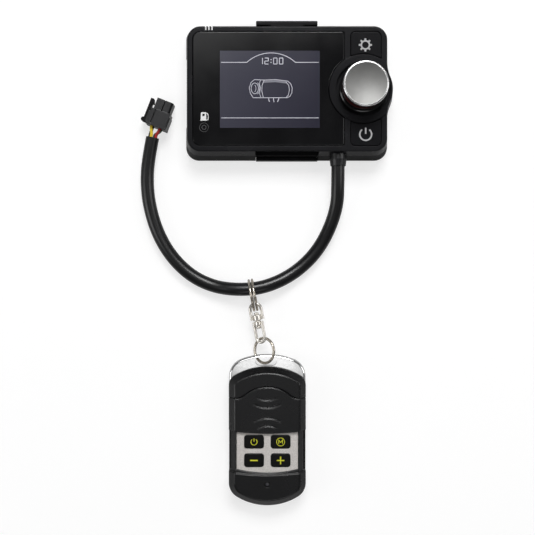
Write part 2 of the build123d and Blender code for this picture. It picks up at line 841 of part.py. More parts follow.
def make_connector_housing():
    """Two by two receptacle: one block with a rear lip, then four separate towers."""
    half = plug_width / 2
    step = half - plug_step_inset
    back, front = plug_gap, plug_gap + plug_block
    body = block(-half, half, back, front, -half, half)
    body += block(-half, half + plug_step, back, front - plug_step_end, -step, step)
    body += block(-half - plug_lip, half + plug_lip, back, back + plug_lip_thick, -half, half)
    rib, groove = -half - plug_lip - latch_gap, -half + plug_groove_inset
    for end in (1, -1):
        low, high = sorted((end * (latch_width / 2 + latch_rib_gap), end * step))
        body += block(rib, -half, back + plug_lip_thick, front - plug_step_end, low, high)
        low, high = sorted((end * (half - plug_groove_depth), end * 2 * half))
        body -= block(groove, groove + plug_groove, back + plug_lip_thick, front, low, high)
    for across, up in wire_centres():
        x, z = across * plug_pitch / 2, up * plug_pitch / 2
        w = silo_width / 2
        tower = block(x - w, x + w, front, front + plug_silos, z - w, z + w)
        if across == up:
            outer = [e for e in tower.edges().filter_by(Axis.Y)
                     if e.center().X * across > abs(x) and e.center().Z * up > abs(z)]
            tower = chamfer(outer, silo_chamfer)
        body += tower
    for across, up in wire_centres():
        x, z = across * plug_pitch / 2, up * plug_pitch / 2
        w = silo_bore / 2
        body -= block(x - w, x + w, back + plug_back, front + plug_silos + 1, z - w, z + w)
        body -= Pos(x, back, z) * Rot(90, 0, 0) * Cylinder(wire_radius + wire_fit, 2 * plug_back + 1)
    web, middle = latch_gap + plug_lip - latch_web_gap, back + latch_pivot
    body += block(-half - web, -half, middle - latch_web / 2, middle + latch_web / 2,
                  -latch_width / 2, latch_width / 2)
    return plug_place() * body


def latch_middle():
    """Middle of the latch's lever across the plug."""
    return -plug_width / 2 - latch_gap - plug_lip - latch_thick / 2


def make_connector_latch():
    """Rocking lever along the plug's side, with a thumb nub behind and a hook in front."""
    x, back = latch_middle(), plug_gap + latch_start
    outer, inner, tip = x - latch_thick / 2, x + latch_thick / 2, back + latch_length
    side = Polyline([(outer, back), (inner, back), (inner, tip - latch_hook_length),
                     (inner + latch_hook, tip - latch_hook_length), (inner, tip), (outer, tip)],
                    close=True)
    profile = make_face(side) + Pos(outer, back + latch_nub) * Circle(latch_nub)
    lever = extrude(Pos(0, 0, -latch_width / 2) * profile, latch_width, dir=(0, 0, 1))
    return plug_place() * lever


def make_crimp_terminals():
    """Four folded box terminals inside the towers."""
    terminals = []
    front = plug_gap + plug_block + plug_silos
    for across, up in wire_centres():
        x, z = across * plug_pitch / 2, up * plug_pitch / 2
        w = terminal_width / 2
        tip = front - terminal_inset
        box = block(x - w, x + w, tip - terminal_length, tip, z - w, z + w)
        w -= terminal_wall
        bore = block(x - w, x + w, tip - terminal_length + terminal_crimp, front, z - w, z + w)
        terminals.append(plug_place() * (box - bore))
    return Compound(terminals)


# ---- Split ring and clasp -------------------------------------------------------------------
def chain_place():
    """Frame of the chain: -Y runs from the middle of the split ring to the remote."""
    return Pos(*split_ring_at) * Rot(0, 0, chain_angle)


def split_point(angle, side):
    turn = math.radians(angle)
    return Vector(side * split_pitch / 2, split_ring_radius * math.cos(turn),
                  split_ring_radius * math.sin(turn))


def split_tangent(angle):
    turn = math.radians(angle)
    return Vector(0, -math.sin(turn), math.cos(turn))


def split_turn(start, end, side):
    """Half turns of the flat coil in one plane."""
    middle = (start + end) / 2
    arcs = []
    for low, high in ((start, middle), (middle, end)):
        arcs.append(ThreePointArc(split_point(low, side), split_point((low + high) / 2, side),
                                  split_point(high, side)))
    return arcs


def split_crossing(start, end):
    """Two tangent arcs that carry the wire from one side to the other."""
    p0, p1 = split_point(start, -1), split_point(end, 1)
    t0, t1 = split_tangent(start), split_tangent(end)
    span, both = p1 - p0, t0 + t1
    a, b, c = both.dot(both) - 4, -2 * span.dot(both), span.dot(span)
    reach = (-b - math.sqrt(b * b - 4 * a * c)) / (2 * a)
    joint = (p0 + t0 * reach + p1 - t1 * reach) * 0.5
    heading = (p1 - t1 * reach) - (p0 + t0 * reach)
    return [Edge.make_tangent_arc(p0, t0, joint), Edge.make_tangent_arc(joint, heading, p1)]


def make_split_ring():
    """Two turns of one wire, which crosses from side to side once."""
    cross = split_cross_at + 360
    first = split_cross_at + split_cross + split_end_gap
    last = cross + 360 - split_cross - split_end_gap
    edges = split_turn(first, cross - split_cross, -1)
    edges += split_crossing(cross - split_cross, cross + split_cross)
    edges += split_turn(cross + split_cross, last, 1)
    path = Wire(edges)
    ring = tube(path, split_wire)
    count = 400
    samples = [path @ (i / count) for i in range(count + 1)]
    apart = path.length / count
    least = min((samples[i] - samples[j]).length for i in range(count + 1) for j in range(i)
                if (i - j) * apart > 6 * split_wire)
    print("split ring least gap to itself", round(least - 2 * split_wire, 3),
          "volume share", round(ring.volume / (math.pi * split_wire ** 2 * path.length), 4))
    return chain_place() * ring


def bent_loop(half, top, bend):
    """U of round wire in the XY plane: legs at +-half, open at top, bend at y = bend."""
    inner = bend + half if bend < top else bend - half
    path = Wire([Line((-half, top), (-half, inner)),
                 ThreePointArc((-half, inner), (0, bend), (half, inner)),
                 Line((half, inner), (half, top))])
    return tube(path, loop_wire)


def along_y(radius, y0, y1):
    return Pos(0, (y0 + y1) / 2) * Rot(90, 0, 0) * Cylinder(radius, y1 - y0)


def make_swivel_upper_loop():
    end = -yoke_start - upper_yoke_length
    loop = bent_loop(upper_loop_half, end + yoke_round, -upper_loop_top)
    yoke = along_y(upper_yoke_radius, end, -yoke_start)
    yoke = fillet(yoke.edges(), yoke_round)
    return chain_place() * (loop + yoke - along_y(rivet_radius, end - 1, 0))


def make_swivel_pin():
    """Rivet with a round head above and a turned-over tail below the yokes."""
    end = -yoke_start - upper_yoke_length - yoke_gap - lower_yoke_length - yoke_gap
    pin = along_y(rivet_radius, end, -yoke_start)
    head = along_y(rivet_head, -yoke_start, -yoke_start + rivet_head_thick)
    head = fillet(head.edges(), rivet_round)
    tail = along_y(rivet_tail, end - rivet_tail_thick, end)
    tail = fillet(tail.edges(), rivet_round)
    return chain_place() * (pin + head + tail)


def make_swivel_lower_loop():
    start = -yoke_start - upper_yoke_length - yoke_gap
    end = start - lower_yoke_length
    loop = bent_loop(lower_loop_half, start - yoke_round, -lower_loop_bottom)
    yoke = along_y(lower_yoke_radius, end, start)
    yoke = fillet(yoke.edges(), yoke_round)
    whole = loop + yoke - along_y(rivet_radius + rivet_fit, end - 1, start + 1)
    return chain_place() * Rot(0, lower_loop_roll, 0) * whole


def jump_centre():
    """Middle of the jump ring, hanging in the lower loop's bend."""
    down = lower_loop_bottom - loop_wire - link_gap - jump_wire + jump_radius
    along = chain_place() * Pos(0, -down, 0)
    return Vector(jump_x, along.position.Y, fob_thick / 2)


def make_jump_ring():
    centre = jump_centre()
    return Pos(centre.X, centre.Y, centre.Z) * Rot(0, -jump_tilt, 0) * Torus(jump_radius, jump_wire)


# ---- Remote ---------------------------------------------------------------------------------
def arched_face(width, top, bottom, top_arc, top_corner, bottom_arc, bottom_corner):
    """Rounded rectangle whose short ends bow outwards."""
    left, right = fob_x - width / 2, fob_x + width / 2
    high = top - top_arc + math.sqrt(top_arc ** 2 - width ** 2 / 4)
    low = bottom
    if bottom_arc:
        low = bottom + bottom_arc - math.sqrt(bottom_arc ** 2 - width ** 2 / 4)
        end = ThreePointArc((left, low), (fob_x, bottom), (right, low))
    else:
        end = Line((left, low), (right, low))
    face = make_face([end, Line((right, low), (right, high)),
                      ThreePointArc((right, high), (fob_x, top), (left, high)),
                      Line((left, high), (left, low))])
    face = fillet(face.vertices().group_by(Axis.Y)[-1], top_corner)
    if bottom_arc:
        face = fillet(face.vertices().group_by(Axis.Y)[0], bottom_corner)
    return face


def fob_outline(inset=0.0):
    return arched_face(fob_width - 2 * inset, fob_top - inset, fob_bottom + inset,
                       fob_top_radius - inset, fob_top_corner - inset,
                       fob_bottom_radius - inset, fob_bottom_corner - inset)


def fob_form(inset=0.0, base=0.0):
    """The remote's rounded block, offset inwards, with its bevelled front edges."""
    turn = math.radians(bevel_angle)
    knee = fob_thick - bevel_height - inset * (1 - math.sin(turn)) / math.cos(turn)
    outline = fob_outline(inset)
    lower = prism(outline, max(base, inset), knee)
    upper = extrude(Pos(0, 0, knee) * outline, fob_thick - inset - knee, dir=(0, 0, 1),
                    taper=bevel_angle)
    return lower + upper


def outer_form():
    form = fob_form()
    form = fillet(form.edges().group_by(Axis.Z)[-1], fob_round)
    return fillet(form.edges().group_by(Axis.Z)[0], fob_back_round)


def wave_face(low_edge, drop, gap=0.0):
    """Area between the wave line and a bowed lower edge, over the full width."""
    reach = (wave_height ** 2 + wave_half ** 2) / (2 * wave_height)
    hollow = reach - wave_radius
    turn = math.degrees(math.atan2(wave_half, reach - wave_height))
    side, x = fob_width / 2 + 2, fob_x
    y = wave_side - gap
    top = [
        Line((x + side, y), (x + wave_half, y)),
        CenterArc((x + wave_half, y + hollow), hollow, 270, -turn),
        CenterArc((x, y + wave_height - wave_radius), wave_radius, 90 - turn, 2 * turn),
        CenterArc((x - wave_half, y + hollow), hollow, 270 + turn, -turn),
        Line((x - wave_half, y), (x - side, y)),
    ]
    bottom = [
        Line((x - side, y), (x - side, low_edge)),
        ThreePointArc((x - side, low_edge), (x, low_edge - drop), (x + side, low_edge)),
        Line((x + side, low_edge), (x + side, y)),
    ]
    return make_face(top + bottom)


def rail_groove(grow):
    """The slots in the rails, or with grow = 0 the lips that run in them."""
    half = fob_width / 2 - cover_skin - rail_lip - grow
    lips = []
    for side in (-1, 1):
        near, far = fob_x + side * half, fob_x + side * (fob_width / 2 + 1)
        lips.append(block(min(near, far), max(near, far), fob_bottom, fob_top,
                          rail_floor + cover_fit - grow,
                          rail_floor + cover_fit + rail_lip_height + grow))
    return lips


def bail_blank():
    top = fob_top + bail_rise
    face = arched_face(fob_width, top, top - bail_length, bail_radius, bail_corner, 0, 0)
    low = fob_thick / 2 - bail_thick / 2
    return prism(face, low, low + bail_thick)


def fob_slab(y0, y1, z0, z1):
    """A slice of space wider than the remote."""
    return block(fob_x - fob_width, fob_x + fob_width, y0, y1, z0, z1)


def screw_places():
    high = fob_top - fob_screw_drop
    return [(fob_x - fob_screw_x, high), (fob_x + fob_screw_x, high),
            (fob_x, fob_bottom + fob_screw_end)]


def cavity():
    """Room for the board, under the head and inside the walls."""
    room = fob_form(fob_wall) & fob_slab(fob_bottom, fob_top - cavity_start, 0, fob_thick)
    return room - rod(fob_boss, 0, fob_thick, fob_x, fob_bottom + fob_screw_end)


def key_face(grow=0.0):
    """The remote's four keys."""
    for row in (1, -1):
        for column in (-1, 1):
            yield round_rect(pad_width + 2 * grow, pad_height + 2 * grow, pad_corner + grow,
                             fob_x + column * pad_pitch_x / 2,
                             fob_top - pad_drop + row * pad_pitch_y / 2)


def plate_face(grow=0.0):
    """Silver plate, bowed at its lower end like the edge beneath it."""
    half, drop = plate_width / 2 + grow, cover_edge_drop
    low = track_end + plate_margin - grow
    high = cover_edge + plate_reach + grow
    edges = [
        Line((fob_x - half, high), (fob_x - half, low)),
        ThreePointArc((fob_x - half, low), (fob_x, low - drop), (fob_x + half, low)),
        Line((fob_x + half, low), (fob_x + half, high)),
        Line((fob_x + half, high), (fob_x - half, high)),
    ]
    return make_face(edges)


def make_fob_front_shell():
    upper = fob_slab(fob_bottom - fob_wall, fob_top + fob_wall, fob_split, 2 * fob_thick)
    track = prism(wave_face(track_end, cover_edge_drop), rail_floor, 2 * fob_thick)
    shell = (outer_form() & upper) - track
    core = fob_form(cover_skin + cover_fit) & upper
    shell += core & fob_slab(track_end - 2 * cover_edge_drop, wave_side + wave_height, fob_split,
                             fob_thick)
    shell -= cavity()
    for groove in rail_groove(pad_fit):
        shell -= groove & track
    shell -= prism(plate_face(cover_fit / 2), plate_top - plate_thick, fob_thick)
    for face in key_face(pad_fit):
        shell -= prism(face, fob_thick / 2, fob_thick)
    shell -= rod(fob_led_radius + fob_led_fit, fob_thick / 2, 2 * fob_thick, fob_x,
                 fob_top - fob_led_drop)
    shell -= bail_blank()
    for x, y in screw_places():
        shell -= rod(fob_screw_radius + screw_fit, 0, fob_thick - fob_wall, x, y)
    return shell


def make_fob_back_shell():
    lower = fob_slab(fob_bottom - fob_wall, fob_top + fob_wall, -1, fob_split)
    board_end = fob_top - fob_board_drop
    shell = (outer_form() & lower) - cavity() - bail_blank()
    for x in (fob_x - fob_post_side, fob_x + fob_post_side):
        for y in (board_end - fob_post_high, board_end - fob_board_length + fob_post_low):
            shell += rod(fob_post_radius, fob_wall, fob_board_height, x, y)
    for x, y in screw_places():
        shell -= rod(fob_screw_radius + screw_fit, 0, fob_split, x, y)
        shell -= rod(fob_screw_head + fob_screw_fit, 0, fob_screw_sink + fob_screw_head_thick, x, y)
    return shell


def make_fob_slide_cover():
    """Sleeve over the front and sides, with lips that run in the rails."""
    area = wave_face(cover_edge, cover_edge_drop, wave_gap)
    area = prism(area, rail_floor + cover_fit, 2 * fob_thick)
    cover = (outer_form() - fob_form(cover_skin)) & area
    for lip in rail_groove(0):
        cover += lip & fob_form() & area
    middle = fob_top - grip_drop
    for centre, facing in ((middle + grip_apart / 2, 270), (middle - grip_apart / 2, 90)):
        for radius in grip_radii:
            half = math.degrees(math.asin(grip_half * radius / grip_radii[-1] / radius))
            line = CenterArc((fob_x, centre), radius, facing - half, 2 * half)
            groove = SlotArc(line, grip_width)
            cover -= prism(groove, fob_thick - grip_depth, fob_thick + 1)
    return cover


def make_fob_face_plate():
    plate = prism(plate_face(), plate_top - plate_thick, plate_top)
    for face in key_face(pad_fit):
        plate -= prism(face, 0, fob_thick)
    return plate


def make_fob_keys():
    """Four rubber keys: rounded cap, hidden flange and a nub over the dome."""
    under = fob_thick - fob_wall
    nub_base = fob_board_height + fob_board_thick + dome_height + pad_travel + pad_slack
    keys = []
    for face, flange in zip(key_face(), key_face(pad_flange)):
        flange_top = under - cover_fit
        flange_base = flange_top - pad_flange_thick
        cap = prism(face, flange_top, plate_top + pad_proud)
        cap = fillet(cap.edges().group_by(Axis.Z)[-1], pad_round)
        cap += prism(flange, flange_base, flange_top)
        spot = face.center()
        keys.append(cap + rod(nub_radius, nub_base, flange_base, spot.X, spot.Y))
    return keys


def make_fob_dome_switches():
    base = fob_board_height + fob_board_thick
    domes = []
    for face in key_face():
        spot = face.center()
        domes.append(turned([(0, base), (dome_radius, base), (dome_crown, base + dome_height),
                             (0, base + dome_height)], spot.X, spot.Y))
    return Compound(domes)


def make_fob_pcb():
    face = fob_outline(fob_board_margin)
    middle = fob_top - fob_board_drop - fob_board_length / 2
    face &= Pos(fob_x, middle) * Rectangle(fob_width, fob_board_length)
    return prism(face, fob_board_height, fob_board_height + fob_board_thick)


def make_fob_led():
    base, top = fob_board_height + fob_board_thick, fob_thick - fob_led_sunk
    y = fob_top - fob_led_drop
    led = rod(fob_led_radius, base, top - fob_led_radius, fob_x, y)
    return led + Pos(fob_x, y, top - fob_led_radius) * Sphere(fob_led_radius)


def make_fob_battery():
    return rod(battery_radius, fob_wall, fob_wall + battery_thick, fob_x, fob_top - battery_drop)


def make_fob_battery_clip():
    """Bent spring strip over the cell, with feet on the board."""
    cell_top = fob_wall + battery_thick
    half = clip_width / 2
    reach = battery_radius + clip_gap + clip_thick
    low, high = fob_top - battery_drop - half, fob_top - battery_drop + half
    strip = block(fob_x - reach, fob_x + reach, low, high, cell_top, cell_top + clip_thick)
    for side in (-1, 1):
        x = fob_x + side * (reach - clip_thick / 2)
        strip += block(x - clip_thick / 2, x + clip_thick / 2, low, high, cell_top,
                       fob_board_height)
    return strip


def make_fob_bail():
    """Chrome arch with a slot for the ring."""
    bail = bail_blank()
    top = bail.edges().filter_by(GeomType.CIRCLE) + bail.edges().filter_by(GeomType.LINE)
    rounded = [e for e in top if e.center().Y > fob_top and abs((e % 0.5).Z) < 0.1]
    bail = fillet(rounded, bail_round)
    slot_y = fob_top + bail_rise - bail_bar - bail_hole_height / 2
    slot = Pos(fob_x + bail_hole_shift, slot_y) * SlotOverall(bail_hole_width, bail_hole_height)
    bail -= prism(slot, 0, fob_thick)
    bail -= fob_slab(fob_bottom, fob_top - cavity_start, 0, fob_thick)
    for x, y in screw_places()[:2]:
        bail -= rod(fob_screw_radius + screw_fit, 0, fob_thick, x, y)
    return bail


def make_fob_screws():
    screws = []
    for x, y in screw_places():
        base = fob_screw_sink
        screw = rod(fob_screw_head, base, base + fob_screw_head_thick, x, y)
        screw += rod(fob_screw_radius, base, fob_thick - fob_wall - fob_screw_end_gap, x, y)
        for turn in (0, 90):
            cross = Box(fob_screw_cross, fob_screw_cross_width, 2 * fob_screw_cross_depth)
            screw -= Pos(x, y, base) * Rot(0, 0, turn) * cross
        screws.append(screw)
    return Compound(screws)


def make_pieces():
    """Every piece by its name."""
    pieces = {
        "front_cover": make_front_cover(),
        "rear_cover": make_rear_cover(),
        "wall_bracket": make_wall_bracket(),
        "display_lens": make_display_lens(),
        "lcd_panel": make_lcd_panel(),
        "lcd_frame": make_lcd_frame(),
        "main_pcb": make_main_pcb(),
        "status_led": make_status_led(),
        "case_screws": make_case_screws(),
        "settings_button": make_key(1),
        "power_button": make_key(-1),
        "tact_switches": make_tact_switches(),
        "encoder_body": make_encoder_body(),
        "encoder_nut": make_encoder_nut(),
        "encoder_plunger": make_encoder_plunger(),
        "encoder_shaft": make_encoder_shaft(),
        "knob_skirt": make_knob_skirt(),
        "knob_light_ring": make_knob_light_ring(),
        "knob_cap": make_knob_cap(),
        "cable_header": make_cable_header(),
        "cable_grommet": make_cable_grommet(),
        "cable_sheath": make_cable_sheath(),
        "connector_housing": make_connector_housing(),
        "connector_latch": make_connector_latch(),
        "crimp_terminals": make_crimp_terminals(),
        "split_ring": make_split_ring(),
        "swivel_upper_loop": make_swivel_upper_loop(),
        "swivel_pin": make_swivel_pin(),
        "swivel_lower_loop": make_swivel_lower_loop(),
        "jump_ring": make_jump_ring(),
        "fob_front_shell": make_fob_front_shell(),
        "fob_back_shell": make_fob_back_shell(),
        "fob_slide_cover": make_fob_slide_cover(),
        "fob_face_plate": make_fob_face_plate(),
        "fob_dome_switches": make_fob_dome_switches(),
        "fob_pcb": make_fob_pcb(),
        "fob_led": make_fob_led(),
        "fob_battery": make_fob_battery(),
        "fob_battery_clip": make_fob_battery_clip(),
        "fob_bail": make_fob_bail(),
        "fob_screws": make_fob_screws(),
    }
    wires = ("wire_yellow", "wire_red", "wire_black", "wire_green")
    for name, (across, up) in zip(wires, wire_centres()):
        pieces[name] = make_wire(across, up)
    keys = ("fob_power_key", "fob_mode_key", "fob_minus_key", "fob_plus_key")
    for name, key in zip(keys, make_fob_keys()):
        pieces[name] = key
    return pieces


os.makedirs("parts", exist_ok=True)
for name, piece in make_pieces().items():
    export_step(piece, f"parts/{name}.step")
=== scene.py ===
"""Looks of the heater controller, its cable and its remote, in metres, in the frame of the CAD."""

import math

import bpy
from mathutils import Matrix, Vector


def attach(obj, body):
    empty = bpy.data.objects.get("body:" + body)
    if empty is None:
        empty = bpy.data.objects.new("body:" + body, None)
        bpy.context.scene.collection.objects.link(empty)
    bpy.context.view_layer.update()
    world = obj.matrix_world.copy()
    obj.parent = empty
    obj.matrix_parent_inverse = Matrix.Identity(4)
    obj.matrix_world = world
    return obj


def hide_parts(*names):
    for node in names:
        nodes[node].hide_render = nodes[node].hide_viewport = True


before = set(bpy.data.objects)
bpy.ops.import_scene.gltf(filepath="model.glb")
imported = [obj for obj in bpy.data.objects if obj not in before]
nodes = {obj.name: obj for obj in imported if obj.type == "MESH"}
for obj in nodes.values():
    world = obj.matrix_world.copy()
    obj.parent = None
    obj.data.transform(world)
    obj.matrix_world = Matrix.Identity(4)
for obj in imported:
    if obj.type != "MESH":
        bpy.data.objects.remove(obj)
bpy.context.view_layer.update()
MM = 0.001                # lengths below are in metres, and those of the drawn signs in millimetres


# ---- Node graph helpers ----------------------------------------------------------------------
def new_material(name):
    """A material with one empty shader, its node tree and that shader."""
    material = bpy.data.materials.new(name)
    material.use_nodes = True
    tree = material.node_tree
    tree.nodes.clear()
    out = tree.nodes.new("ShaderNodeOutputMaterial")
    shader = tree.nodes.new("ShaderNodeBsdfPrincipled")
    tree.links.new(shader.outputs["BSDF"], out.inputs["Surface"])
    return material, tree, shader


def place(tree):
    """Object coordinates, which are those of the shared frame."""
    return tree.nodes.new("ShaderNodeTexCoord").outputs["Object"]


def noise(tree, vector, scale, detail=3.0, rough=0.55):
    """Noise from 0 to 1, scale of its features to the metre."""
    node = tree.nodes.new("ShaderNodeTexNoise")
    node.inputs["Scale"].default_value = scale
    node.inputs["Detail"].default_value = detail
    node.inputs["Roughness"].default_value = rough
    tree.links.new(vector, node.inputs["Vector"])
    return node.outputs["Fac"]


def ramp(tree, value, low, high, start=0.3, end=0.7):
    """Goes from low to high as the value goes from start to end, and stays there beyond them."""
    node = tree.nodes.new("ShaderNodeMapRange")
    node.inputs["From Min"].default_value = start
    node.inputs["From Max"].default_value = end
    node.inputs["To Min"].default_value = low
    node.inputs["To Max"].default_value = high
    tree.links.new(value, node.inputs["Value"])
    return node.outputs["Result"]


def combine(tree, operation, first, second):
    """Sum, product or the like of two values, each a number or a socket."""
    node = tree.nodes.new("ShaderNodeMath")
    node.operation = operation
    for socket, value in zip(node.inputs, (first, second)):
        if isinstance(value, float):
            socket.default_value = value
        else:
            tree.links.new(value, socket)
    return node.outputs["Value"]


def mix_colour(tree, factor, first, second):
    """Mix of two colours, each a tuple or a socket."""
    node = tree.nodes.new("ShaderNodeMix")
    node.data_type = "RGBA"
    tree.links.new(factor, node.inputs["Factor"])
    colours = [s for s in node.inputs if s.type == "RGBA"]
    for socket, value in zip(colours, (first, second)):
        if isinstance(value, tuple):
            socket.default_value = (*value, 1.0)
        else:
            tree.links.new(value, socket)
    return [s for s in node.outputs if s.type == "RGBA"][0]


def rounded_normal(tree, shader, radius, height, strength, distance):
    """Softens hard edges in the shading over a radius, and adds a fine bump."""
    bump = tree.nodes.new("ShaderNodeBump")
    bump.inputs["Strength"].default_value = strength
    bump.inputs["Distance"].default_value = distance
    tree.links.new(height, bump.inputs["Height"])
    if radius:
        bevel = tree.nodes.new("ShaderNodeBevel")
        bevel.samples = 6
        bevel.inputs["Radius"].default_value = radius
        tree.links.new(bevel.outputs["Normal"], bump.inputs["Normal"])
    tree.links.new(bump.outputs["Normal"], shader.inputs["Normal"])


MOTTLING = 60.0           # scale of the plastics' broad blotches
COAT_ROUGH = 0.08
RUBBED = 0.1              # share by which rubbing changes the roughness


def plastic(name, colour, rough=0.5, grain=2600.0, depth=0.35, spread=0.12, edge=0.00025, coat=0.0,
            specular=0.5):
    """Moulded plastic or rubber with a fine grain, slight mottling and rubbed roughness."""
    material, tree, shader = new_material(name)
    where = place(tree)
    fine = noise(tree, where, grain, 2.0)
    broad = noise(tree, where, MOTTLING, 4.0)
    dark = tuple(c * (1 - spread) for c in colour)
    light = tuple(min(1.0, c * (1 + spread)) for c in colour)
    tree.links.new(mix_colour(tree, ramp(tree, broad, 0.0, 1.0), dark, light),
                   shader.inputs["Base Color"])
    tree.links.new(ramp(tree, broad, rough * (1 - RUBBED), rough * (1 + RUBBED)),
                   shader.inputs["Roughness"])
    shader.inputs["Specular IOR Level"].default_value = specular
    shader.inputs["Coat Weight"].default_value = coat
    shader.inputs["Coat Roughness"].default_value = COAT_ROUGH
    rounded_normal(tree, shader, edge, fine, depth, 0.00003)
    return material


def metal(name, colour, rough=0.2, grain=900.0, depth=0.12, wear=0.4, edge=0.00015, tarnish=None,
          metallic=1.0, blotch=140.0):
    """Metal with fine marks, varied polish and a little tarnish."""
    material, tree, shader = new_material(name)
    shader.inputs["Metallic"].default_value = metallic
    marks = noise(tree, place(tree), grain, 4.0, 0.6)
    broad = noise(tree, place(tree), blotch, 4.0)
    dull = tarnish or tuple(c * 0.86 for c in colour)
    tree.links.new(mix_colour(tree, ramp(tree, broad, 0.0, 1.0), colour, dull),
                   shader.inputs["Base Color"])
    tree.links.new(ramp(tree, marks, rough * (1 - wear), rough * (1 + wear)),
                   shader.inputs["Roughness"])
    rounded_normal(tree, shader, edge, marks, depth, 0.00002)
    return material


TURNING = 9000.0          # scale of the cap's turning marks
RIM_ROUGH = 0.26
RIM_BLUR = 0.00006


def turned_metal(name, colour, rim_highlight_colour, centre, rim, rough):
    """Fine concentric turning about a vertical axis at centre, and a polished rim whose paler colour
    is a painted highlight.
    """
    material, tree, shader = new_material(name)
    shader.inputs["Metallic"].default_value = 1.0
    coordinate = tree.nodes.new("ShaderNodeTexCoord")
    shift = tree.nodes.new("ShaderNodeVectorMath")
    shift.operation = "SUBTRACT"
    shift.inputs[1].default_value = (centre[0], centre[1], 0.0)
    flat = tree.nodes.new("ShaderNodeVectorMath")
    flat.operation = "MULTIPLY"
    flat.inputs[1].default_value = (1.0, 1.0, 0.0)
    reach = tree.nodes.new("ShaderNodeVectorMath")
    reach.operation = "LENGTH"
    tree.links.new(coordinate.outputs["Object"], shift.inputs[0])
    tree.links.new(shift.outputs["Vector"], flat.inputs[0])
    tree.links.new(flat.outputs["Vector"], reach.inputs[0])
    join = tree.nodes.new("ShaderNodeCombineXYZ")
    tree.links.new(reach.outputs["Value"], join.inputs["X"])
    rings = noise(tree, join.outputs["Vector"], TURNING, 3.0, 0.7)
    broad = noise(tree, coordinate.outputs["Object"], 220.0, 3.0)
    dull = tuple(c * 0.9 for c in colour)
    face = mix_colour(tree, ramp(tree, broad, 0.0, 1.0), colour, dull)
    # rim mask: smoother polish, and a paler colour that is a painted highlight
    edge = ramp(tree, reach.outputs["Value"], 0.0, 1.0, rim - RIM_BLUR, rim + RIM_BLUR)
    tree.links.new(mix_colour(tree, edge, face, rim_highlight_colour), shader.inputs["Base Color"])
    satin = ramp(tree, rings, rough * 0.8, rough * 1.2)
    smooth = tree.nodes.new("ShaderNodeMix")
    smooth.inputs["B"].default_value = RIM_ROUGH
    tree.links.new(edge, smooth.inputs["Factor"])
    tree.links.new(satin, smooth.inputs["A"])
    tree.links.new(smooth.outputs["Result"], shader.inputs["Roughness"])
    rounded_normal(tree, shader, 0.0, rings, 0.10, 0.00001)
    return material


LENS_BLACK = (0.0025, 0.0025, 0.0032)
LENS_FACE = 0.01605       # height above which the lens shows the display
WINDOW_BLUR = 0.00004
ACROSS_SHARE = 0.62       # of the display's painted sheen, the share that runs from right to left


def smoked_lens(name, window):
    """Gloss black lens, with the display showing grey-blue inside the window, and a painted sheen
    that makes it palest in its upper left corner."""
    material, tree, shader = new_material(name)
    where = place(tree)
    split = tree.nodes.new("ShaderNodeSeparateXYZ")
    tree.links.new(where, split.inputs["Vector"])
    x, y, z = split.outputs
    left, right, low, high = window

    def step(value, edge, before, after):
        return ramp(tree, value, before, after, edge - WINDOW_BLUR, edge + WINDOW_BLUR)

    inside = step(z, LENS_FACE, 0.0, 1.0)
    for bound in (step(x, left, 0.0, 1.0), step(x, right, 1.0, 0.0),
                  step(y, low, 0.0, 1.0), step(y, high, 1.0, 0.0)):
        inside = combine(tree, "MULTIPLY", inside, bound)
    # painted sheen: the display's grey-blue grows paler towards the upper left
    painted_sheen = combine(tree, "ADD", ramp(tree, x, ACROSS_SHARE, 0.0, left, right),
                    ramp(tree, y, 0.0, 1.0 - ACROSS_SHARE, low, high))
    grey = mix_colour(tree, painted_sheen, DISPLAY_LOW, DISPLAY_HIGH)
    tree.links.new(mix_colour(tree, inside, LENS_BLACK, grey), shader.inputs["Base Color"])
    haze = noise(tree, where, 45.0, 3.0)
    tree.links.new(ramp(tree, haze, 0.10, 0.17), shader.inputs["Roughness"])
    shader.inputs["Specular IOR Level"].default_value = 0.5
    rounded_normal(tree, shader, 0.0004, haze, 0.02, 0.00002)
    return material


def printed(name, colour, rough=0.45):
    """Screen-printed ink, slightly uneven in density."""
    material, tree, shader = new_material(name)
    broad = noise(tree, place(tree), 900.0, 3.0)
    thin = tuple(c * 0.9 for c in colour)
    ink = mix_colour(tree, ramp(tree, broad, 0.0, 1.0), colour, thin)
    tree.links.new(ink, shader.inputs["Base Color"])
    tree.links.new(ramp(tree, broad, rough * (1 - RUBBED), rough * (1 + RUBBED)),
                   shader.inputs["Roughness"])
    return material


# ---- Shape helpers ---------------------------------------------------------------------------
def ellipse(x, y, across, up, start=0, end=360, count=40):
    """Points of an ellipse, or of an arc of it from start to end in degrees with both its ends."""
    steps = range(count if end - start == 360 else count + 1)
    angles = [math.radians(start + (end - start) * i / count) for i in steps]
    return [(x + across * math.cos(angle), y + up * math.sin(angle)) for angle in angles]


def circle(x, y, radius, count=56):
    return ellipse(x, y, radius, radius, count=count)


def arc(x, y, radius, start, end, count=24):
    return ellipse(x, y, radius, radius, start, end, count)


MITRE = 0.35


def line(points, width, closed=False):
    """Loops that bound a line of constant width along the points. MITRE keeps the width of a sharp
    corner within bounds."""
    count = len(points)
    left, right = [], []
    for i, (x, y) in enumerate(points):
        before = points[i - 1] if closed or i else points[i]
        after = points[(i + 1) % count] if closed or i < count - 1 else points[i]
        d1 = Vector((x - before[0], y - before[1]))
        d2 = Vector((after[0] - x, after[1] - y))
        d1 = d1.normalized() if d1.length > 1e-9 else d2.normalized()
        d2 = d2.normalized() if d2.length > 1e-9 else d1
        bisector = (d1 + d2).normalized()
        normal = Vector((-bisector.y, bisector.x))
        reach = width / 2 / max(MITRE, normal.dot(Vector((-d1.y, d1.x))))
        left.append((x + normal.x * reach, y + normal.y * reach))
        right.append((x - normal.x * reach, y - normal.y * reach))
    if closed:
        return [left, right[::-1]]
    return [left + right[::-1]]


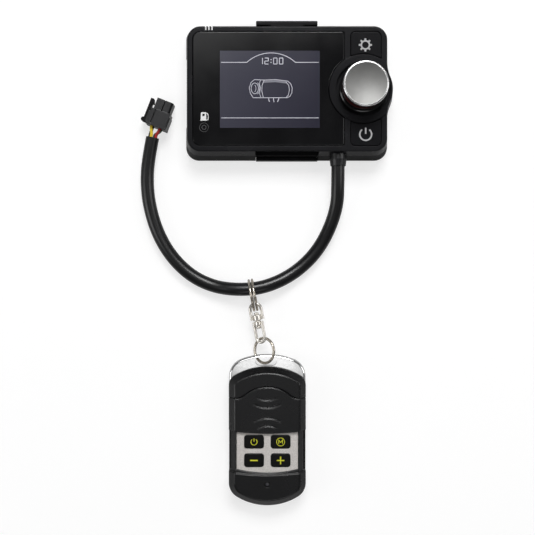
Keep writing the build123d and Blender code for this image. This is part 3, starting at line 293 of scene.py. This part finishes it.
def graphic(name, loops, top, material, body, thick=0.03):
    """A thin flat shape whose upper face is at height top. Loops inside loops are holes."""
    curve = bpy.data.curves.new(name, "CURVE")
    curve.dimensions = "2D"
    curve.fill_mode = "BOTH"
    curve.extrude = thick * MM / 2
    for loop in loops:
        spline = curve.splines.new("POLY")
        spline.points.add(len(loop) - 1)
        for point, (x, y) in zip(spline.points, loop):
            point.co = (x * MM, y * MM, 0.0, 1.0)
        spline.use_cyclic_u = True
    source = bpy.data.objects.new(name + "_outline", curve)
    bpy.context.scene.collection.objects.link(source)
    mesh = bpy.data.meshes.new_from_object(source.evaluated_get(
        bpy.context.evaluated_depsgraph_get()))
    bpy.data.objects.remove(source)
    mesh.transform(Matrix.Translation((0.0, 0.0, (top - thick / 2) * MM)))
    mesh.name = name
    piece = bpy.data.objects.new(name, mesh)
    bpy.context.scene.collection.objects.link(piece)
    piece.data.materials.clear()
    piece.data.materials.append(material)
    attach(piece, body)
    return piece


# ---- Materials of the CAD nodes --------------------------------------------------------------
WINDOW = (-0.0324, 0.01565, -0.0189, 0.0182)    # left, right, lower and upper edge
# grey-blue of the display with painted sheen: HIGH at the upper left, LOW at the lower right
DISPLAY_HIGH = (0.062, 0.062, 0.083)
DISPLAY_LOW = (0.024, 0.023, 0.037)
KNOB_X = 0.0366
CAP_FACE = 0.00985        # radius of the turned face inside the polished rim with its painted highlight

case_black = plastic("case_black", (0.013, 0.013, 0.0145), 0.26, edge=0.0005, specular=0.08)
rear_black = plastic("rear_black", (0.005, 0.005, 0.0055), 0.5, edge=0.0004, specular=0.1)
bracket_black = plastic("bracket_black", (0.0075, 0.0075, 0.0085), 0.26, edge=0.0003, specular=0.08)
key_black = plastic("key_black", (0.0080, 0.0080, 0.0092), 0.26, specular=0.08)
nylon_black = plastic("nylon_black", (0.015, 0.015, 0.0165), 0.30, edge=0.0003, specular=0.45)
# darker copy of the housing's nylon: painted shade for the latch, whose side lies in shadow
latch_painted_shade = plastic("latch_painted_shade", (0.003, 0.003, 0.0035), 0.4, edge=0.0003, specular=0.15)
rubber_black = plastic("rubber_black", (0.006, 0.006, 0.007), 0.34, 1500.0)
sheath_black = plastic("sheath_black", (0.0055, 0.0055, 0.0060), 0.32, 1200.0, 0.25, edge=0.0002)
knob_black = plastic("knob_black", (0.004, 0.004, 0.0045), 0.22, coat=0.3)
ring_red = plastic("ring_red", (0.10, 0.003, 0.003), 0.16, coat=0.5)
fob_black = plastic("fob_black", (0.0055, 0.0055, 0.0060), 0.27, 3000.0, 0.2, edge=0.0008)
cover_black = plastic("cover_black", (0.0062, 0.0062, 0.0068), 0.27, 3000.0, 0.2, edge=0.0012)
pad_black = plastic("pad_black", (0.003, 0.003, 0.003), 0.36, edge=0.0002, specular=0.25)
board_green = plastic("board_green", (0.02, 0.14, 0.05), 0.35, 500.0)
frame_white = plastic("frame_white", (0.7, 0.7, 0.68), 0.5)
switch_black = plastic("switch_black", (0.03, 0.03, 0.03), 0.5)
socket_white = plastic("socket_white", (0.7, 0.68, 0.62), 0.5)
led_dark = plastic("led_dark", (0.02, 0.02, 0.02), 0.2, coat=0.5)
led_grey = plastic("led_grey", (0.10, 0.10, 0.11), 0.2, coat=0.5)
lcd_grey = plastic("lcd_grey", (0.05, 0.05, 0.065), 0.2)
yellow = plastic("wire_yellow_ink", (0.72, 0.53, 0.03), 0.4)
red = plastic("wire_red_ink", (0.44, 0.014, 0.018), 0.4)
green = plastic("wire_green_ink", (0.02, 0.13, 0.05), 0.4)
black_wire = plastic("wire_black_ink", (0.007, 0.007, 0.007), 0.35)

# the rim's pale colour, 0.90 against the face's 0.215, is a painted highlight
cap_metal = turned_metal("cap_metal", (0.215, 0.215, 0.21), (0.90, 0.90, 0.90), (KNOB_X, 0.0),
                         CAP_FACE, 0.50)
nickel = metal("nickel", (0.61, 0.57, 0.50), 0.18, tarnish=(0.42, 0.37, 0.31), metallic=0.75)
clasp_nickel = metal("clasp_nickel", (0.86, 0.83, 0.78), 0.18, tarnish=(0.68, 0.64, 0.58),
                     metallic=0.65)
chrome = metal("chrome", (0.90, 0.90, 0.90), 0.07, depth=0.03, edge=0.0, metallic=0.85)
steel = metal("steel", (0.5, 0.5, 0.5), 0.3)
tin = metal("tin", (0.6, 0.58, 0.52), 0.3)
silver_plate = metal("silver_plate", (0.80, 0.765, 0.73), 0.46, grain=3000.0, depth=0.4, wear=0.2,
                     tarnish=(0.54, 0.51, 0.49), metallic=0.3, blotch=2400.0)
lens = smoked_lens("lens", WINDOW)

FINISH = {
    case_black: ("front_cover",),
    rear_black: ("rear_cover",),
    bracket_black: ("wall_bracket",),
    key_black: ("settings_button", "power_button"),
    nylon_black: ("connector_housing",),
    latch_painted_shade: ("connector_latch",),
    rubber_black: ("cable_grommet",),
    sheath_black: ("cable_sheath",),
    knob_black: ("knob_skirt",),
    ring_red: ("knob_light_ring",),
    fob_black: ("fob_front_shell", "fob_back_shell"),
    cover_black: ("fob_slide_cover",),
    pad_black: ("fob_power_key", "fob_mode_key", "fob_minus_key", "fob_plus_key"),
    board_green: ("main_pcb", "fob_pcb"),
    frame_white: ("lcd_frame",),
    switch_black: ("tact_switches", "encoder_plunger"),
    socket_white: ("cable_header",),
    led_grey: ("fob_led",),
    led_dark: ("status_led",),
    lcd_grey: ("lcd_panel",),
    yellow: ("wire_yellow",),
    red: ("wire_red",),
    green: ("wire_green",),
    black_wire: ("wire_black",),
    cap_metal: ("knob_cap",),
    nickel: ("split_ring", "jump_ring"),
    clasp_nickel: ("swivel_upper_loop", "swivel_pin", "swivel_lower_loop"),
    chrome: ("fob_bail",),
    steel: ("case_screws", "encoder_body", "encoder_nut", "encoder_shaft", "fob_screws",
            "fob_battery", "fob_battery_clip", "fob_dome_switches"),
    tin: ("crimp_terminals",),
    silver_plate: ("fob_face_plate",),
    lens: ("display_lens",),
}
for finish, names in FINISH.items():
    for name in names:
        slots = nodes[name].data.materials
        slots.clear()
        slots.append(finish)


# ---- Display picture and printed symbols -----------------------------------------------------
LENS_TOP = 16.13          # height of the upper face of what shows in or on the lens
lit = printed("display_lines", (0.62, 0.62, 0.70), 0.35)
lit_soft = printed("display_shade", (0.20, 0.20, 0.24), 0.35)
white_ink = printed("white_ink", (0.80, 0.80, 0.80))
grey_ink = printed("grey_ink", (0.42, 0.42, 0.43))
dim_ink = printed("dim_ink", (0.035, 0.035, 0.037))
yellow_ink = printed("yellow_ink", (0.66, 0.66, 0.03))

header = [(-31.8, 12.6), *arc(-7.76, -0.15, 17.3, 132.4, 47.6, 30), (15.1, 12.6)]
graphic("display_header", line(header, 0.32), LENS_TOP, lit, "controller")
graphic("display_footer", line([(-31.8, -14.1), (15.1, -14.1)], 0.32), LENS_TOP, lit, "controller")

SEGMENTS = {"0": "abcdef", "1": "bc", "2": "abged"}


def digit(mark, x, y, width, height):
    """Seven-segment strokes of a figure whose lower left corner is at x, y."""
    top, middle = y + height, y + height / 2
    strokes = {"a": [(x, top), (x + width, top)], "b": [(x + width, top), (x + width, middle)],
               "c": [(x + width, middle), (x + width, y)], "d": [(x, y), (x + width, y)],
               "e": [(x, y), (x, middle)], "f": [(x, middle), (x, top)],
               "g": [(x, middle), (x + width, middle)]}
    return [strokes[s] for s in SEGMENTS[mark]]


DIGIT = (1.7, 2.9)
DIGIT_FOOT = 11.8
DIGITS = (("1", -13.6), ("2", -10.8), ("0", -6.6), ("0", -3.8))
for index, (mark, left) in enumerate(DIGITS):
    for number, stroke in enumerate(digit(mark, left, DIGIT_FOOT, *DIGIT)):
        graphic(f"display_digit_{index}_{number}", line(stroke, 0.36), LENS_TOP, lit, "controller")
for number, y in enumerate((12.6, 13.9)):
    graphic(f"display_colon_{number}", [circle(-7.8, y, 0.26, 16)], LENS_TOP, lit, "controller")

heater = [
    line([(-11.1, 4.1), (-12.1, 1.6), (-12.25, -1.1), (-11.5, -4.4)], 0.26),
    line([(-11.1, 4.1), (-5.7, 4.35), (0.2, 3.6), (1.7, 2.3), (2.4, 0.3), (2.2, -2.1), (1.25, -3.8),
          (0.0, -4.4), (-11.5, -4.4)], 0.26),
    line([(-0.7, 3.2), (0.7, 1.6), (1.05, -0.7), (0.5, -3.1), (-0.5, -4.3)], 0.24),
    line([(-11.1, 4.1), (-15.8, 4.3), (-17.5, 2.85), (-18.25, 0.3), (-17.8, -2.2), (-16.4, -4.4),
          (-11.5, -4.4)], 0.26),
    line([(-12.9, 4.0), (-13.4, 2.4), (-12.9, 0.3), (-13.3, -2.4), (-12.7, -4.2)], 0.22),
    line(ellipse(-15.6, 0.1, 1.75, 2.6), 0.26, True),
    line(ellipse(-15.6, 0.1, 2.35, 3.2, -58, 58), 0.22),
    line(ellipse(-16.0, 0.1, 0.95, 1.75, -70, 70), 0.2),
    line([(-8.9, -4.6), (-8.9, -5.4), (-8.5, -6.4)], 0.36),
    line([(-6.6, -4.6), (-6.6, -5.6), (-6.3, -6.5)], 0.36),
    line([(-4.0, -4.6), (-4.3, -5.5), (-4.7, -6.4)], 0.36),
]
shade = [(-11.0, 3.85), (-5.7, 4.1), (0.0, 3.35), (-0.6, 2.5), (-5.7, 3.1), (-11.5, 2.8)]
graphic("display_shade", [shade], LENS_TOP - 0.01, lit_soft, "controller")
for index, loops in enumerate(heater):
    graphic(f"display_heater_{index}", loops, LENS_TOP, lit, "controller")

pump = [(-41.8, -15.4), (-38.8, -15.4), (-38.8, -14.9), (-39.0, -14.9), (-39.0, -11.7),
        (-39.3, -11.4), (-41.3, -11.4), (-41.6, -11.7), (-41.6, -14.9), (-41.8, -14.9)]
gauge = [(-40.85, -13.35), (-39.75, -13.35), (-39.75, -12.1), (-40.85, -12.1)]
graphic("fuel_symbol", [pump, gauge], LENS_TOP, white_ink, "controller")
hose = [(-38.9, -11.7), (-38.2, -12.3), (-38.0, -13.4), (-38.1, -14.9), (-38.6, -15.0)]
graphic("fuel_hose", line(hose, 0.34), LENS_TOP, white_ink, "controller")
graphic("indicator_ring", [circle(-40.05, -18.65, 2.25), circle(-40.05, -18.65, 2.02)], LENS_TOP,
        dim_ink, "controller")
graphic("indicator_eye", [circle(-40.05, -18.65, 1.15), circle(-40.05, -18.65, 0.85)], LENS_TOP,
        dim_ink, "controller")


TIP_HALF = 7.5            # half the angle that a gear tooth takes up at its tip
ROOT_HALF = 11.0          # and at its root


def gear(x, y, outer, root, teeth):
    points = []
    for tooth in range(teeth):
        middle = 360 * tooth / teeth
        for turn, radius in ((-ROOT_HALF, root), (-TIP_HALF, outer), (TIP_HALF, outer),
                             (ROOT_HALF, root)):
            angle = math.radians(middle + turn)
            points.append((x + radius * math.cos(angle), y + radius * math.sin(angle)))
    return points


def power_sign(name, x, y, radius, width, top, material, body):
    """Ring open at the top, and a bar in its gap."""
    ring = line(arc(x, y, radius, 128, 412, 36), width)
    bar = line([(x, y + radius * 1.12), (x, y + radius * 0.1)], width)
    graphic(name + "_ring", ring, top, material, body)
    graphic(name + "_bar", bar, top, material, body)


KEY_TOP = 16.13           # height of the upper face of the controller keys' signs
graphic("settings_sign", [gear(37.6, 21.0, 3.2, 2.35, 8), circle(37.6, 21.0, 1.6, 32)], KEY_TOP,
        grey_ink, "settings_key")
power_sign("power_sign", 37.75, -22.05, 2.85, 0.7, KEY_TOP, grey_ink, "power_key")

PAD_TOP = 12.63           # and of the remote keys' signs
pads = {"power": (-16.05, -170.7), "mode": (-3.15, -170.7), "minus": (-16.05, -179.7),
        "plus": (-3.15, -179.7)}
x, y = pads["power"]
power_sign("remote_power_sign", x, y, 1.5, 0.34, PAD_TOP, yellow_ink, "remote_power_key")
x, y = pads["mode"]
graphic("remote_mode_ring", line(circle(x, y, 1.95, 40), 0.3, True), PAD_TOP, yellow_ink,
        "remote_mode_key")
graphic("remote_mode_letter", line([(x - 0.9, y - 0.9), (x - 0.9, y + 0.9), (x, y - 0.3),
                                    (x + 0.9, y + 0.9), (x + 0.9, y - 0.9)], 0.32), PAD_TOP,
        yellow_ink, "remote_mode_key")
x, y = pads["minus"]
graphic("remote_minus_sign", line([(x - 1.85, y), (x + 1.85, y)], 0.6), PAD_TOP, yellow_ink,
        "remote_minus_key")
x, y = pads["plus"]
graphic("remote_plus_bar", line([(x - 1.85, y), (x + 1.85, y)], 0.6), PAD_TOP, yellow_ink,
        "remote_plus_key")
for number, end in enumerate((1, -1)):
    graphic(f"remote_plus_arm_{number}", line([(x, y + end * 0.3), (x, y + end * 1.9)], 0.6), PAD_TOP,
            yellow_ink, "remote_plus_key")


# ---- Cable -----------------------------------------------------------------------------------
ROUTE = [(0.0250, -0.0288, 0.0090), (0.0250, -0.0432, 0.0090), (0.0247, -0.0580, 0.0062),
         (0.0169, -0.0763, 0.0037), (0.0046, -0.0888, 0.0035), (-0.0104, -0.09595, 0.0070),
         (-0.0238, -0.09715, 0.0070), (-0.0362, -0.0956, 0.0035), (-0.0472, -0.0904, 0.0033),
         (-0.0569, -0.0812, 0.0033), (-0.0640, -0.0692, 0.0033), (-0.0682, -0.0550, 0.0033),
         (-0.0693, -0.0425, 0.0035), (-0.0682, -0.0315, 0.0042), (-0.0662, -0.0219, 0.0049)]
SHEATH_RADIUS = 0.00325
cable = bpy.data.curves.new("cable", "CURVE")
cable.dimensions = "3D"
spline = cable.splines.new("NURBS")
spline.points.add(len(ROUTE) - 1)
for point, place_at in zip(spline.points, ROUTE):
    point.co = (*place_at, 1.0)
spline.order_u = 3
spline.use_endpoint_u = True
spline.resolution_u = 16
cable.bevel_depth = SHEATH_RADIUS
cable.bevel_resolution = 12
cable.use_fill_caps = True
cable_piece = bpy.data.objects.new("cable", cable)
bpy.context.scene.collection.objects.link(cable_piece)
cable.materials.append(sheath_black)
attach(cable_piece, "controller")
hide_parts("cable_sheath")


# ---- Studio ----------------------------------------------------------------------------------
FLOOR_GREY = 0.36
FLOOR_GLOW = 0.68         # raises the grey ground to white
MIRRORED = 0.3            # share of the glow that shows in reflections
FLOOR_HALF = 3.0
FLOOR_TOP = -0.0002


def ground_rays(tree):
    """1 for what the camera sees straight or through glass, MIRRORED for what a surface mirrors,
    and 0 for the light that the ground sheds."""
    path = tree.nodes.new("ShaderNodeLightPath")
    seen = combine(tree, "ADD", path.outputs["Is Camera Ray"], path.outputs["Is Transmission Ray"])
    mirrored = combine(tree, "MULTIPLY", path.outputs["Is Glossy Ray"], MIRRORED)
    return combine(tree, "MINIMUM", combine(tree, "ADD", seen, mirrored), 1.0)


def white_floor():
    """Ground that takes the object's shadow, with a glow that lights nothing."""
    material, tree, shader = new_material("floor_white")
    surface = shader.outputs["BSDF"].links[0].to_socket
    tree.nodes.remove(shader)
    diffuse = tree.nodes.new("ShaderNodeBsdfDiffuse")
    diffuse.inputs["Color"].default_value = (FLOOR_GREY, FLOOR_GREY, FLOOR_GREY, 1.0)
    glow = tree.nodes.new("ShaderNodeEmission")
    tree.links.new(combine(tree, "MULTIPLY", ground_rays(tree), FLOOR_GLOW), glow.inputs["Strength"])
    both = tree.nodes.new("ShaderNodeAddShader")
    tree.links.new(diffuse.outputs["BSDF"], both.inputs[0])
    tree.links.new(glow.outputs["Emission"], both.inputs[1])
    tree.links.new(both.outputs["Shader"], surface)
    return material


floor_mesh = bpy.data.meshes.new("floor")
floor_mesh.from_pydata([(x * FLOOR_HALF, y * FLOOR_HALF, FLOOR_TOP)
                        for x, y in ((-1, -1), (1, -1), (1, 1), (-1, 1))], [], [(0, 1, 2, 3)])
floor = bpy.data.objects.new("floor", floor_mesh)
bpy.context.scene.collection.objects.link(floor)
floor_mesh.materials.append(white_floor())

TARGET = (0.0, -0.08, 0.0)


def softbox(name, at, size, power):
    """Rectangular lamp that faces the target."""
    light = bpy.data.lights.new(name, "AREA")
    light.shape = "RECTANGLE"
    light.size, light.size_y = size
    light.energy = power
    lamp = bpy.data.objects.new(name, light)
    lamp.location = at
    lamp.rotation_euler = (Vector(TARGET) - Vector(at)).to_track_quat("-Z", "Y").to_euler()
    bpy.context.scene.collection.objects.link(lamp)


softbox("key_light", (0.08, 0.64, 0.92), (0.5, 0.4), 9.2)
softbox("right_light", (0.9, 0.1, 0.7), (0.4, 0.7), 2.4)
softbox("left_light", (-0.9, -0.2, 0.6), (0.4, 0.7), 2.4)
softbox("low_light", (0.1, -1.0, 0.8), (0.7, 0.3), 1.2)

ROOM = 0.06               # light of the room from all sides
BACKDROP = 0.71           # what the camera sees beyond the floor
# Soft pale patches overhead: direction, reach of the full tone, reach of any tone, strength.
PATCHES = (((-0.137, 0.43, 0.89), 0.10, 0.25, 3.3),
           ((0.0, -0.15, 0.99), 0.12, 0.30, 0.18),
           ((0.0, -0.075, 1.0), 0.045, 0.065, 0.9))


def studio_world():
    room = bpy.data.worlds.new("studio")
    room.use_nodes = True
    tree = room.node_tree
    sight = tree.nodes.new("ShaderNodeLightPath").outputs["Is Camera Ray"]
    toward = tree.nodes.new("ShaderNodeTexCoord").outputs["Generated"]
    total = combine(tree, "ADD", combine(tree, "MULTIPLY", sight, BACKDROP), ROOM)
    for direction, full, faded, strength in PATCHES:
        apart = tree.nodes.new("ShaderNodeVectorMath")
        apart.operation = "DISTANCE"
        apart.inputs[1].default_value = Vector(direction).normalized()
        tree.links.new(toward, apart.inputs[0])
        patch = ramp(tree, apart.outputs["Value"], strength, 0.0, full, faded)
        total = combine(tree, "ADD", total, patch)
    background = tree.nodes["Background"]
    background.inputs["Color"].default_value = (1.0, 1.0, 1.0, 1.0)
    tree.links.new(total, background.inputs["Strength"])
    return room


bpy.context.scene.world = studio_world()

CAMERA_AT = (-0.0095, -0.0861, 0.450)           # straight above the middle of the view
camera_data = bpy.data.cameras.new("camera")
camera_data.sensor_width = 36.0
camera_data.lens = 60.68
camera_data.clip_start = 0.01
camera = bpy.data.objects.new("camera", camera_data)
camera.location = CAMERA_AT
bpy.context.scene.collection.objects.link(camera)
bpy.context.scene.camera = camera
bpy.context.scene.view_settings.view_transform = "Standard"
